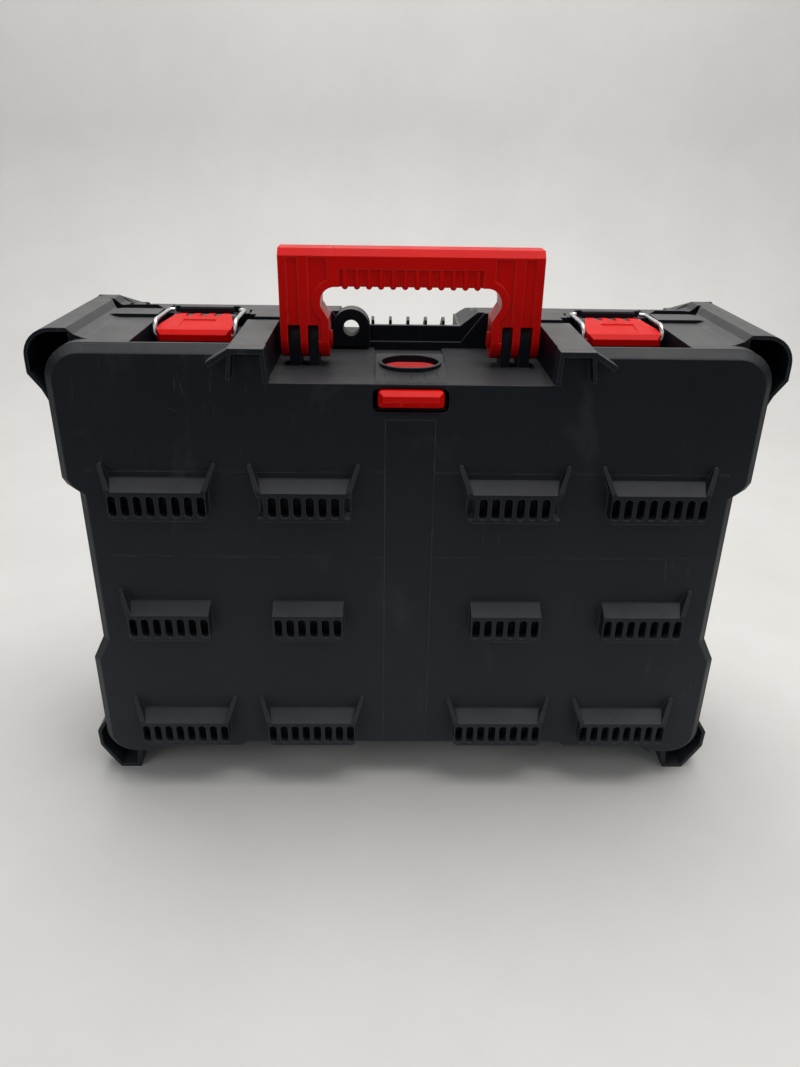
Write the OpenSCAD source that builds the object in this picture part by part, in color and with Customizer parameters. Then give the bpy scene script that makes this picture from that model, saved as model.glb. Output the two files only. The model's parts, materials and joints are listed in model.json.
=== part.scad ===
// Hard tool case standing on its hinge edge: base shell with cleats to the front (-Y),
// lid behind (+Y), carry handle and two draw latches on top, release slide in the middle.
// Case depth is measured from the base's front face (depth 0) towards the lid.

/* [Case body] */
// Width across the upper half of the body
body_w = 484; // [440:1:560]
// Width across the waist between the two side steps
waist_w = 462.4; // [420:1:540]
// Width across the lower half of the body
foot_w = 481.4; // [436:1:556]
// Height of the top lip above the floor
lip_z = 357.5; // [330:0.5:400]
// Height of the body's lower edge at the corners
hem_z = 22; // [19:0.5:24]
// Height of the body's lower edge in the middle
belly_z = 31.8; // [28:0.2:36]
// Height where the upper side step begins
step_z = 263; // [240:1:290]
// Height where the lower side flare begins
flare_z = 133; // [110:1:160]
// Depth of the base shell
base_depth = 107; // [100:1:150]
// Depth of the lid shell
lid_depth = 49; // [42:1:70]
// Wall thickness of both shells
wall = 3; // [2:0.25:4]
// Radius of the body's top corners
top_r = 26; // [18:1:34]
// Radius of the body's bottom corners
bottom_r = 22; // [14:1:28]
// Chamfer around the front and back faces
edge = 6; // [4:0.5:6.5]
// Open seam between base and lid at rest
seam = 0.4; // [0.3:0.1:0.8]
// How far the rim flanges stand out from the walls
rim_out = 2.7; // [1:0.1:3.2]
// Depth of the rim flange on each shell
rim_depth = 20; // [8:0.5:24]
// Width of the flat sealing land inside the rim
rim_land = 6; // [5:0.5:8]

/* [Corner bumpers] */
// How far the top bumpers stand out beyond the sides
bumper_out = 15.3; // [8:0.1:20]
// How far the top bumpers stand above the lip
bumper_up = 7; // [4:0.5:12]
// Skin thickness of the bumpers
bumper_skin = 2.5; // [2:0.25:3.5]
// Depth at which the top bumpers open towards the front
bumper_start = 15; // [10:1:25]
// Depth at which the bottom bumpers open towards the front
foot_start = 12; // [8:1:25]
// Width of the flat foot under each bottom bumper
foot_flat = 16; // [10:1:24]

/* [Stacking cleats] */
// How far the cleats stand out from the front face
cleat_out = 12; // [8:0.5:16]
// Height of a cleat's front plate
cleat_h = 21.5; // [18:0.5:26]
// Rise of a cleat's sloped top
cleat_rise = 7; // [3:0.5:12]
// Height of the lowest row of cleats
cleat_row_z = 42.4; // [38:0.2:50]
// Distance between the rows of cleats
cleat_row_pitch = 97.7; // [80:0.1:105]
// Distance between the slots of a cleat
slot_pitch = 8.7; // [7:0.1:10]
// Width of a cleat slot
slot_w = 5.8; // [4:0.1:6.4]
// Height of a cleat slot
slot_h = 16; // [10:0.5:18]
// Height of a wing's tip above the cleat's lower edge
wing_h = 39; // [32:0.5:46]

/* [Handle] */
// Width across the handle's legs
handle_w = 180; // [150:1:184]
// Thickness of the handle, front to back
handle_t = 26; // [20:0.5:28]
// Height of the handle's crest above its pivot
handle_rise = 61.6; // [52:0.2:66]
// Height of the grip bar
grip_h = 24.6; // [18:0.2:30]
// Width of each leg at the pivot
leg_w = 33.5; // [30:0.5:36]
// Distance of the handle's pivot from the front face
handle_pivot_y = 56; // [52:0.5:62]
// Height of the handle's pivot below the lip
handle_pivot_drop = 6.5; // [5:0.1:8]
// Diameter of the handle's pivot pins
handle_pin_d = 5; // [4:0.1:6]
// Distance between the finger ribs
grip_rib_pitch = 8.2; // [7:0.1:9]
// Number of finger ribs
grip_ribs = 12; // [8:1:12]

/* [Handle pocket] */
// Clearance between the handle and each side wall of its pocket
pocket_gap = 5; // [4:0.5:8]
// Depth of the pocket floor below the lip
pocket_drop = 24.5; // [22:0.5:30]
// Depth of the leg bays, from the front face
leg_bay_depth = 80; // [74:1:90]

/* [Latches] */
// Distance of each latch from the middle of the case
latch_x = 152; // [148:0.5:156]
// Width of the latch lever
lever_w = 52; // [44:0.5:54]
// Distance of the lever's hinge in front of the parting plane
latch_hinge_back = 10; // [9.5:0.1:12]
// Height of the lever's hinge below the lip
latch_hinge_drop = 3.5; // [3:0.1:4.5]
// Reach of the lever from its hinge to its free end
lever_reach = 48.5; // [40:0.5:54]
// Reach from the lever's hinge to the bail's pivot
bail_reach = 40; // [36:0.5:40]
// Diameter of the bail wire
bail_wire_d = 3; // [2:0.1:3.2]
// Diameter of the lever's hinge pin
latch_pin_d = 3; // [2:0.1:4]
// Depth of the finger bay under the lever, below the lip
bay_drop = 27.5; // [22:0.5:30]
// Width of the keeper block on the lid
keeper_w = 48; // [44:0.5:50]
// Height of the keeper block above the lip
keeper_up = 5.5; // [4:0.5:8]

/* [Lid hinge] */
// Diameter of the hinge knuckles
knuckle_d = 13; // [11:0.5:13.5]
// Height of the hinge axis above the floor
hinge_z = 7; // [6.8:0.1:8]
// Width of one hinge knuckle
knuckle_w = 16; // [10:0.5:20]
// Distance of each hinge from the middle of the case
hinge_x = 150; // [110:1:160]
// Diameter of the hinge pins
hinge_pin_d = 4; // [3:0.1:5]

/* [Release slide] */
// Width of the tongue on the front face
tongue_w = 44; // [36:0.5:46]
// How far the tongue stands out from the front face
tongue_out = 8; // [5:0.5:10]
// Travel of the slide
slide_travel = 8; // [5:0.5:9]
// Width of the finger window
window_w = 40; // [34:0.5:42]
// Length of the finger window, front to back
window_l = 34; // [33:0.5:36]
// Width of the raised housing over the slide
housing_w = 48; // [46:0.5:52]
// Diameter of the slide's return springs
spring_d = 6.4; // [5:0.1:7]
// Wire diameter of the return springs
spring_wire = 0.8; // [0.6:0.1:1]
// Turns of each return spring
spring_turns = 7; // [5:1:9]

/* [Padlock eye] */
// Diameter of the padlock hole
eye_hole_d = 12; // [8:0.5:14]
// Outer diameter of the padlock eye
eye_d = 28; // [24:0.5:30]
// Distance of the padlock eye from the middle of the case
eye_x = 43.3; // [40:0.1:46]

/* [Fits] */
// Radial clearance of a pin that turns in its hole
pin_fit = 0.06; // [0.02:0.01:0.1]
// Side clearance between parts that move past each other
side_fit = 0.4; // [0.3:0.05:0.5]

/* [Hidden] */

body_half = body_w / 2;
waist_half = waist_w / 2;
foot_half = foot_w / 2;
case_depth = base_depth + lid_depth;
mid_depth = (case_depth - cleat_out) / 2;
big = 1000;
case_black = [0.11, 0.12, 0.14];
trim_red = [0.8, 0.09, 0.06];
zinc = [0.72, 0.74, 0.76];

// heights on top of the case
pocket_z = lip_z - pocket_drop;
ceiling_z = pocket_z - wall;
rim_z = lip_z + rim_out;
bay_z = lip_z - bay_drop;
pivot_z = lip_z - handle_pivot_drop;
latch_z = lip_z - latch_hinge_drop;
latch_y = base_depth - latch_hinge_back;
handle_half = handle_w / 2;
pocket_w = handle_w + 2 * pocket_gap;
pocket_half = pocket_w / 2;

// ---- placing helpers -------------------------------------------------------

// case coordinates to part coordinates: the case is centred front to back
module in_case() translate([0, -mid_depth, 0]) children();

// extrude an X-Z outline from depth y0 to depth y1
module along_y(y0, y1) translate([0, y1, 0]) rotate([90, 0, 0])
    linear_extrude(y1 - y0) children();

// extrude a Y-Z outline from x0 to x1
module along_x(x0, x1) translate([x0, 0, 0]) rotate([90, 0, 90])
    linear_extrude(x1 - x0) children();

module box(x0, x1, y0, y1, z0, z1) translate([x0, y0, z0]) cube([x1 - x0, y1 - y0, z1 - z0]);

// round bar along X
module rod_x(x0, x1, y, z, d) translate([x0, y, z]) rotate([0, 90, 0])
    cylinder(d = d, h = x1 - x0, $fn = 48);

// round bar along Y
module rod_y(y0, y1, x, z, d) translate([x, y0, z]) rotate([-90, 0, 0])
    cylinder(d = d, h = y1 - y0, $fn = 48);

module both_sides() {
    children();
    mirror([1, 0, 0]) children();
}

// ---- outlines of the case --------------------------------------------------

function arc(x, z, r, a0, a1, n = 8) =
    [for (i = [0:n]) let (a = a0 + (a1 - a0) * i / n) [x + r * cos(a), z + r * sin(a)]];

function mirrored(half) =
    concat(half, [for (i = [len(half) - 1:-1:0]) [-half[i][0], half[i][1]]]);

// sides and lower edge of the right half, moved in by e
function lower_half(e) = concat(
    [[body_half - e, step_z], [body_half - 3 - e, step_z - 5],
     [waist_half - e, step_z - 11], [waist_half - e, flare_z],
     [foot_half - e, flare_z - 19]],
    arc(foot_half - bottom_r, hem_z + bottom_r, bottom_r - e, 0, -90),
    [[foot_half - 37, hem_z + e], [foot_half - 46, hem_z + 5.7 + e],
     [foot_half - 108, hem_z + 5.7 + e], [foot_half - 112, belly_z + e]]);

// whole body outline, moved in by e
function outline(e) = mirrored(concat(
    arc(body_half - top_r, lip_z - top_r, top_r - e, 90, 0), lower_half(e)));

// outline of the mouth: the body outline with its top at the pocket ceiling
function mouth(e) = mirrored(concat(
    arc(body_half - 14, ceiling_z - 14 + wall, 14 - e, 90, 0), lower_half(e)));

module slab(y0, y1, e) along_y(y0, y1) polygon(outline(e));

// slab whose outline is moved in by e0 at depth y0 and by e1 at depth y1
module tapered_slab(y0, y1, e0, e1) {
    ring0 = outline(e0);
    ring1 = outline(e1);
    n = len(ring0);
    polyhedron(
        points = concat([for (p = ring0) [p[0], y0, p[1]]], [for (p = ring1) [p[0], y1, p[1]]]),
        faces = concat([[for (i = [0:n - 1]) i]], [[for (i = [n - 1:-1:0]) n + i]],
            [for (i = [0:n - 1]) [i, n + i, n + (i + 1) % n, (i + 1) % n]]));
}

// the body's chamfered front and back ends, trimmed flat, and how far the slab behind laps them
over = 1;
lap = 0.25;
module front_end() difference() {
    tapered_slab(-over, edge, edge + over, 0);
    box(-big, big, -2 * over, 0, -big, big);
}
module back_end() difference() {
    tapered_slab(case_depth - edge, case_depth + over, 0, edge + over);
    box(-big, big, case_depth, case_depth + 2 * over, -big, big);
}

// ---- corner bumpers, drawn for the right side ------------------------------

bumper_x = body_half + bumper_out;
bumper_z = lip_z + bumper_up;
bumper_r = 20;
bumper_inner_x = body_half - 16;

module top_bumper_outline(e) polygon(concat(
    e == 0 ? [[body_half - 33, lip_z - 1], [body_half - 25, lip_z + 0.8], [body_half - 19.5, lip_z + 3],
               [body_half - 15, bumper_z]]
           : [[bumper_inner_x, lip_z - 8], [bumper_inner_x, bumper_z - e]],
    arc(bumper_x - bumper_r, bumper_z - bumper_r, bumper_r - e, 90, 0),
    [[bumper_x - e, bumper_z - 30.5 + e / 3], [body_half + 7.3 - e, bumper_z - 41.5],
     [body_half + 1 - e / 3, bumper_z - 55.5], [body_half - 4, bumper_z - 64],
     [body_half - 9, bumper_z - 64], [body_half - 9, lip_z - 12], [body_half - 33, lip_z - 12]]));

// bottom bumper: skin moved in by e
foot_x = foot_half - 4.5;
module foot_outline(e) polygon([
    [foot_x - foot_flat + e, e], [foot_x - e / 2, e], [foot_x + 4 - e, 5.5 + e / 2],
    [foot_x + 10 - e, 15 + e / 2], [foot_x + 14.5 - e, hem_z + 0.6 + e / 2],
    [foot_x + 15 - e, hem_z + 15 - e / 2], [foot_x + 12 - e, hem_z + 20 - e / 2],
    [foot_x + 4, hem_z + 30 - e], [foot_x - 2, hem_z + 30 - e], [foot_x - 2, hem_z + 8],
    [foot_x - foot_flat - 6 + e * 2, hem_z + 8]]);

module bumper_skins(y0, y1, z0 = 0) {
    along_y(y0[0], y1) top_bumper_outline(0);
    difference() {
        along_y(y0[1], y1) foot_outline(0);
        box(foot_x - 40, foot_x + 40, z0, y1 + 1, -1, hinge_z + 1.6);
    }
}

module bumper_hollows(y0, y1) {
    along_y(y0[0] - 1, y1) top_bumper_outline(bumper_skin);
    along_y(y0[1] - 1, y1) foot_outline(bumper_skin);
}

// ---- stacking cleats -------------------------------------------------------

// cleat from x0 to x1 with its lower edge at z; wing0 and wing1 say which ends have wings
module cleat(x0, x1, z, slots, wing0, wing1) {
    difference() {
        along_x(x0, x1) polygon([[1, z], [-cleat_out, z], [-cleat_out, z + cleat_h],
            [1, z + cleat_h + cleat_rise]]);
        for (i = [0:slots - 1]) translate([(x0 + x1) / 2 + (i - (slots - 1) / 2) * slot_pitch, 0, 0])
            along_y(-cleat_out - 1, -1) {
                translate([-slot_w / 2, z + 2.7 + slot_w / 4]) square([slot_w, slot_h - slot_w / 2]);
                for (s = [z + 2.7 + slot_w / 2, z + 2.7 + slot_h - slot_w / 2])
                    translate([0, s]) circle(d = slot_w, $fn = 32);
            }
        // rounded lower front corners
        for (s = [0, 1]) translate([s == 0 ? x0 : x1, 0, z]) mirror([s, 0, 0])
            along_y(-cleat_out - 1, 0) difference() {
                translate([-1, -1]) square(5);
                translate([4, 4]) circle(r = 4, $fn = 32);
            }
    }
    if (wing0) wing(x0, 1, z);
    if (wing1) wing(x1, -1, z);
}

// thin fin that leans outward at a cleat's end and runs down to the face at its tip;
// s is the direction towards the cleat's middle
wing_t = 3.2;
module wing(x, s, z) intersection() {
    along_y(-cleat_out, 1) polygon([[x, z + cleat_h - 1.5], [x - s * 6.5, z + wing_h - 1],
        [x - s * 5.5, z + wing_h], [x - s * 4, z + wing_h - 0.5], [x + s * wing_t, z + cleat_h],
        [x + s * wing_t, z + cleat_h - 1.5]]);
    along_x(min(x - s * 8, x + s * 8), max(x - s * 8, x + s * 8)) polygon([[1, z], [-cleat_out, z],
        [-cleat_out, z + cleat_h + 1], [-1.5, z + wing_h], [1, z + wing_h]]);
}

// the six cleats of the right half
module cleats() {
    top = cleat_row_z + 2 * cleat_row_pitch;
    middle = cleat_row_z + cleat_row_pitch;
    cleat(140.1, 207.5, top, 8, true, true);
    cleat(40.8, 105.1, top, 8, true, true);
    cleat(145.8, 205.2, middle, 7, false, true);
    cleat(47.3, 99.2, middle, 6, false, false);
    cleat(138.9, 205.9, cleat_row_z, 8, true, true);
    cleat(39.2, 107.5, cleat_row_z, 8, true, true);
}

// ---- top of the base -------------------------------------------------------

// stiffening block beside the handle pocket, with its open front and wing
bay_in = latch_x - 39;
bay_out = latch_x + 33;
block_w = bay_in + 5 - pocket_half;
block_z = lip_z + 0.8;
module handle_block() {
    box(pocket_half, pocket_half + block_w, -cleat_out, leg_bay_depth, block_z - 3.5, block_z);
    along_y(-cleat_out, 1) {
        polygon([[pocket_half - 2, pocket_z + 3], [pocket_half + 1, pocket_z + 3],
            [pocket_half + 2, block_z], [pocket_half - 0.5, block_z]]);
        polygon([[pocket_half + block_w - 3, block_z - 2], [pocket_half + block_w - 0.5, block_z - 2],
            [pocket_half + block_w + 1.5, pocket_z + 5], [pocket_half + block_w - 0.5, pocket_z + 5]]);
        polygon([[pocket_half + block_w - 1, block_z], [pocket_half + block_w + 14, block_z - 9],
            [pocket_half + block_w + 12, block_z - 12], [pocket_half + block_w - 1, block_z - 3.5]]);
    }
}

// two upright ears between the handle's tabs
ear_r = 9.5;
outer_ear = [handle_half - 13.3, handle_half - 5.4];
inner_ear = [handle_half - 25.9, handle_half - 19.2];
module handle_ears() for (ear = [outer_ear, inner_ear]) {
    rod_x(ear[0], ear[1], handle_pivot_y, pivot_z, 2 * ear_r);
    box(ear[0], ear[1], handle_pivot_y - ear_r, handle_pivot_y + ear_r, pocket_z - 1, pivot_z);
}

// posts between the lever's fingers, on the wall behind the finger bay
finger_w = 5.5;
finger_pitch = 10.3;
fingers = 4;
post_w = finger_pitch - finger_w - 2 * side_fit;
finger_r = 5;
post_r = finger_r - side_fit;
latch_wall_z = latch_z - finger_r - 1.5;
finger_span = (fingers - 1) * finger_pitch + finger_w;
end_post_w = 4.5;
module latch_post(x, w) {
    rod_x(x, x + w, latch_y, latch_z, 2 * post_r);
    box(x, x + w, latch_y - post_r, latch_y + post_r, latch_wall_z - 1, latch_z);
}
module latch_posts() {
    for (i = [0:fingers - 2])
        latch_post(latch_x + (i - (fingers - 2) / 2) * finger_pitch - post_w / 2, post_w);
    latch_post(latch_x + finger_span / 2 + side_fit, end_post_w);
    latch_post(latch_x - finger_span / 2 - side_fit - end_post_w, end_post_w);
}

bay_front = 8;
bay_back = latch_y - finger_r - 1;
module latch_bay() {
    box(bay_in, bay_out, bay_front, bay_back, bay_z, lip_z + 20);
    box(bay_in + 5, bay_out, bay_back - 1, base_depth + 1, latch_wall_z, lip_z + 20);
}

// handle pocket: floor, leg bays and the sloping sides behind them
neck_half = 42;
neck_top_half = 61;
module handle_pocket() {
    box(-pocket_half, pocket_half, -1, leg_bay_depth, pocket_z, lip_z + 20);
    box(-neck_top_half, neck_top_half, leg_bay_depth - 1, base_depth - lip_t, pocket_z, lip_z + 20);
    along_y(base_depth - lip_t - 1, base_depth + 1) polygon([[-neck_half, pocket_z],
        [neck_half, pocket_z], [neck_top_half, rim_z], [neck_top_half, lip_z + 20],
        [-neck_top_half, lip_z + 20], [-neck_top_half, rim_z]]);
}

// lip that stands along the parting edge in the pocket's back
lip_h = 5;
lip_t = 3;
module pocket_lip() along_y(base_depth - lip_t, base_depth) difference() {
    polygon([[-neck_half - lip_t, pocket_z - 1], [neck_half + lip_t, pocket_z - 1],
        [neck_top_half + lip_t, rim_z], [-neck_top_half - lip_t, rim_z]]);
    polygon([[-neck_half + 1.5, pocket_z + lip_h], [neck_half - 1.5, pocket_z + lip_h],
        [neck_top_half - lip_t, rim_z + 0.1], [-neck_top_half + lip_t, rim_z + 0.1]]);
}

// shallow sunken panel between the slide's housing and the lip
sunk_half = 26;
sunk_depth = 1.8;

// everything in the base that is hollow behind the front face
module base_hollow(y0, y1, e) along_y(y0, y1) difference() {
    polygon(outline(e));
    translate([-pocket_half - wall, ceiling_z]) square([pocket_w + 2 * wall, big]);
    for (s = [0, 1]) mirror([s, 0]) translate([bay_in - wall, bay_z - wall])
        square([bay_out - bay_in + 2 * wall, big]);
}
module base_cavity() {
    base_hollow(wall, edge, edge);
    base_hollow(edge - over, base_depth - wall, wall);
    along_y(base_depth - wall - 1, base_depth + 1) polygon(mouth(rim_land));
    both_sides() box(neck_top_half + wall, pocket_half - wall, leg_bay_depth + wall,
        base_depth - wall, ceiling_z - 1, lip_z - wall - 2);
}

// ---- release slide ---------------------------------------------------------

window_y = 41;
housing_end = window_y + window_l / 2 + 3;
slide_gap = 0.4;
plate_z = ceiling_z - slide_gap;
plate_t = 4;
plate_half = 19;
plate_end = 66;
button_l = window_l - slide_travel - 2;
button_z = pocket_z + 2.9;
tongue_z = ceiling_z - 12.5;
recess_half = tongue_w / 2 + 3.5;
cover_z = ceiling_z - 17;
cover_t = 2.5;
cover_half = 34;
cover_front = wall + 1;
cover_end = 88;
screw_x = 28.5;
screw_y = [26, 78];
screw_d = 3;
boss_d = 7;

module stadium(w, l, grow) {
    r = l / 2 + grow;
    run = (w - l) / 2;
    for (s = [-1, 1]) translate([s * run, 0]) circle(r = r, $fn = 64);
    translate([-run, -r]) square([2 * run, 2 * r]);
}

// rectangle from -half to half and z0 to z1 with rounded corners
module rounded(half, z0, z1, r) {
    translate([-half, z0 + r]) square([2 * half, z1 - z0 - 2 * r]);
    translate([-half + r, z0]) square([2 * (half - r), z1 - z0]);
    for (x = [-half + r, half - r], z = [z0 + r, z1 - r]) translate([x, z]) circle(r = r, $fn = 48);
}

module slide_housing() {
    along_x(-housing_w / 2, housing_w / 2) polygon([[3.4, pocket_z - 1], [3.4, pocket_z + 0.3],
        [housing_end, pocket_z + 6], [housing_end, pocket_z - 1]]);
    translate([0, window_y, pocket_z]) linear_extrude(5.4) stadium(window_w, window_l, 2);
}

module housing_grooves() for (i = [-2:2]) translate([i * 9 - 0.5, 3, pocket_z])
    rotate([5.2, 0, 0]) cube([1, 17, 2]);

module slide_openings() {
    translate([0, window_y, ceiling_z - 1]) linear_extrude(20) stadium(window_w, window_l, 0);
    along_y(-1, wall + 1) rounded(recess_half, tongue_z - 4, ceiling_z, 4);
    housing_grooves();
}

module slide_bosses() for (y = screw_y) translate([screw_x, y, cover_z + cover_t])
    cylinder(d = boss_d, h = ceiling_z - cover_z - cover_t + 1, $fn = 32);

module release_slide() color(trim_red) in_case() {
    half = tongue_w / 2;
    intersection() {
        along_x(-half, half) polygon([[9, tongue_z], [-1, tongue_z], [-tongue_out, tongue_z + 5.5],
            [-tongue_out, tongue_z + 9.5], [-3, plate_z], [9, plate_z]]);
        along_y(-tongue_out - 1, 9) rounded(half, tongue_z, plate_z, 3);
        translate([0, 0, tongue_z - 1]) linear_extrude(20) polygon([[-half, 9], [half, 9], [half, -3],
            [half - 3.5, -tongue_out], [-half + 3.5, -tongue_out], [-half, -3]]);
    }
    for (s = [-1, 1]) translate([s * 7, -tongue_out / 2 - 0.6, tongue_z + 2.6]) sphere(d = 2.4, $fn = 24);
    box(-plate_half, plate_half, 8, plate_end, plate_z - plate_t, plate_z);
    translate([0, window_y - slide_travel / 2, plate_z - 1]) linear_extrude(button_z - plate_z + 1)
        stadium(window_w - 4, button_l, 0);
    for (i = [-1:1]) translate([0, window_y - slide_travel / 2 + i * 5, button_z - 1.1]) rotate([0, 90, 0])
        cylinder(d = 3, h = 24, center = true, $fn = 32);
}

// tray that holds the slide up against the pocket floor
guide_in = plate_half + side_fit;
module slide_cover() color(case_black) in_case() difference() {
    union() {
        box(-cover_half, cover_half, cover_front, cover_end, cover_z, cover_z + cover_t);
        both_sides() {
            box(guide_in, guide_in + 2.5, 19, cover_end, cover_z, ceiling_z);
            box(15.5, 18.5, 19, plate_end + slide_travel, cover_z, plate_z - plate_t - side_fit);
        }
        box(-guide_in - 1, guide_in + 1, spring_end, cover_end, cover_z, ceiling_z);
    }
    both_sides() for (y = screw_y) translate([screw_x, y, cover_z - 1])
        cylinder(d = screw_d + 0.4, h = cover_t + 2, $fn = 32);
}

module slide_screws() color(zinc) in_case() both_sides() for (y = screw_y)
    translate([screw_x, y, 0]) {
        translate([0, 0, cover_z - 2.2]) cylinder(d = 6, h = 2.2, $fn = 32);
        translate([0, 0, cover_z - 0.5]) cylinder(d = screw_d, h = 13, $fn = 32);
    }

// coil spring along Y: a thin bar swept round a helix
spring_end = cover_end - 3;
spring_x = 9;
spring_z = plate_z - spring_d / 2;
module spring() {
    per_turn = 12;
    sides = 6;
    r = (spring_d - spring_wire) / 2;
    y0 = plate_end + spring_wire / 2;
    run = spring_end - plate_end - spring_wire;
    n = spring_turns * per_turn;
    function at(i, k) = let (a = 360 * i / per_turn, b = 360 * k / sides,
        q = r + spring_wire / 2 * cos(b))
        [q * cos(a), y0 + run * i / n + spring_wire / 2 * sin(b), q * sin(a)];
    polyhedron(
        points = [for (i = [0:n], k = [0:sides - 1]) at(i, k)],
        faces = concat([[for (k = [sides - 1:-1:0]) k]], [[for (k = [0:sides - 1]) n * sides + k]],
            [for (i = [0:n - 1], k = [0:sides - 1]) let (a = i * sides, b = (k + 1) % sides)
                [a + k, a + b, a + sides + b, a + sides + k]]));
}
module slide_spring(side) color(zinc) in_case() translate([side * spring_x, 0, spring_z]) spring();

// ---- lid hinge -------------------------------------------------------------

knuckles = 5;
knuckle_gap = side_fit;
hinge_w = knuckles * knuckle_w + (knuckles - 1) * knuckle_gap;
leaf_t = 6;
module knuckle(i, leaf_y) {
    x = hinge_x - hinge_w / 2 + i * (knuckle_w + knuckle_gap);
    rod_x(x, x + knuckle_w, base_depth, hinge_z, knuckle_d);
    box(x, x + knuckle_w, leaf_y, leaf_y + leaf_t, hinge_z, belly_z + 2);
}
module base_knuckles() for (i = [0:2:knuckles - 1]) knuckle(i, base_depth - leaf_t);
module lid_knuckles() for (i = [1:2:knuckles - 1]) knuckle(i, base_depth + seam);
module hinge_pin(side) color(zinc) in_case()
    rod_x(side * hinge_x - hinge_w / 2, side * hinge_x + hinge_w / 2, base_depth, hinge_z, hinge_pin_d);

// ---- base shell ------------------------------------------------------------

module base_shell() color(case_black) in_case() difference() {
    union() {
        difference() {
            union() {
                front_end();
                slab(edge - lap, base_depth, 0);
                slab(base_depth - rim_depth, base_depth, -rim_out);
                both_sides() difference() {
                    bumper_skins([bumper_start, foot_start], base_depth, base_depth - hinge_z - 2.2);
                    difference() {
                        bumper_hollows([bumper_start, foot_start], base_depth - 15);
                        slab(0, base_depth, 0);
                    }
                }
                both_sides() box(neck_top_half, pocket_half + block_w, leg_bay_depth + 2,
                    base_depth, lip_z - 1, rim_z);
            }
            base_cavity();
            handle_pocket();
            both_sides() latch_bay();
            face_marks();
        }
        both_sides() {
            handle_block();
            handle_ears();
            latch_posts();
            cleats();
            slide_bosses();
            base_knuckles();
        }
        slide_housing();
        pocket_lip();
    }
    slide_openings();
    box(-sunk_half, sunk_half, housing_end, base_depth - lip_t, pocket_z - sunk_depth, pocket_z + 1);
    both_sides() {
        rod_x(0, pocket_half, handle_pivot_y, pivot_z, handle_pin_d + 2 * pin_fit);
        rod_x(latch_x - 30, latch_x + 30, latch_y, latch_z, latch_pin_d);
        rod_x(hinge_x - hinge_w, hinge_x + hinge_w, base_depth, hinge_z, hinge_pin_d);
        for (y = screw_y) translate([screw_x, y, cover_z]) cylinder(d = screw_d, h = 13, $fn = 32);
    }
    eye_seat(0);
}

// shallow strip down the middle of the face and two fine panel lines
module face_marks() {
    box(-17, 17, -1, 0.6, belly_z + 2, tongue_z - 9);
    for (z = [step_z - 58.3, step_z + 7.7]) both_sides() box(17, waist_half - 8, -1, 0.3, z - 0.5, z + 0.5);
}

// ---- padlock eye -----------------------------------------------------------

eye_z = lip_z - 8.2;
eye_base = [base_depth - 9, base_depth - side_fit / 2];
eye_lid = [base_depth + seam, base_depth + seam + 5];
module eye_seat(i) {
    y = i == 0 ? eye_base : eye_lid;
    translate([-eye_x, 0, eye_z]) along_y(y[0] - (i == 0 ? 0 : 1), y[1] + (i == 0 ? 1 : 0)) {
        circle(d = eye_d, $fn = 64);
        translate([-eye_d / 2, -14]) square([eye_d, 14]);
    }
}
module padlock_eye(y) color(case_black) in_case() translate([-eye_x, 0, eye_z])
    along_y(y[0], y[1]) difference() {
        union() {
            circle(d = eye_d, $fn = 64);
            translate([-eye_d / 2, -14]) square([eye_d, 14]);
        }
        circle(d = eye_hole_d, $fn = 64);
    }

// ---- lid shell -------------------------------------------------------------

lid_front = base_depth + seam;
notch_half = 40;
notch_top_half = 57.5;
notch_z = lip_z - 7.7;
notch_floor = lip_z - 19.5;
notch_rib_pitch = 13.6;
notch_ribs = 5;

module lid_notch() {
    along_y(lid_front - 4, case_depth + 1) polygon([[-notch_half, notch_z], [notch_half, notch_z],
        [notch_top_half, lip_z + 6], [notch_top_half, lip_z + 30], [-notch_top_half, lip_z + 30],
        [-notch_top_half, lip_z + 6]]);
    box(-notch_half + 2, notch_half - 2, lid_front + 4, case_depth + 1, notch_floor, lip_z);
    // way through behind the padlock eye
    box(-eye_x - 9.5, -notch_half + 4, lid_front + 6, case_depth + 1, notch_floor, lip_z + 20);
    translate([-eye_x, 0, eye_z]) along_y(lid_front + 4, lid_front + 7) circle(d = eye_hole_d + 1, $fn = 64);
}

module lid_hollow(y0, y1, e) along_y(y0, y1) difference() {
    polygon(outline(e));
    translate([-notch_top_half - wall, notch_floor - wall])
        square([2 * (notch_top_half + wall), big]);
}

// keeper block that the bail hooks over; its top falls away towards the back
module keeper() {
    y0 = base_depth - 3;
    z1 = lip_z + keeper_up;
    x0 = latch_x - keeper_w / 2;
    x1 = x0 + keeper_w;
    difference() {
        along_x(x0, x1) polygon([[y0, lip_z - 5.5], [y0, z1 - 2], [y0 + 0.6, z1 - 0.6], [y0 + 2, z1],
            [y0 + 5, z1 - 0.5], [lid_front + 14, lip_z + 0.5], [lid_front + 14, lip_z - 1],
            [lid_front + 1, lip_z - 1], [lid_front, lip_z - 5.5]]);
        for (x = [x0 - 1, x1 - bail_hook]) box(x, x + bail_hook + 1, y0 - 1, base_depth - 0.4,
            bail_hook_z - bail_wire_d / 2 - 0.5, z1 + 1);
    }
}

// gap that the rim leaves round the keeper
module keeper_gap() box(latch_x - 31.5, latch_x + 29.5, lid_front - 1, lid_front + rim_depth + 1,
    lip_z, lip_z + 20);

// slanted slot sunk into the top of the lid's rim between the latch and the corner
rim_slot_depth = 4;
module rim_slot() translate([0, 0, rim_z - rim_slot_depth]) linear_extrude(20)
    polygon([[latch_x + 33, lid_front + 1.5], [latch_x + 69, lid_front + 1.5],
        [latch_x + 78, lid_front + rim_depth - 3.5], [latch_x + 42, lid_front + rim_depth - 3.5]]);

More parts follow.
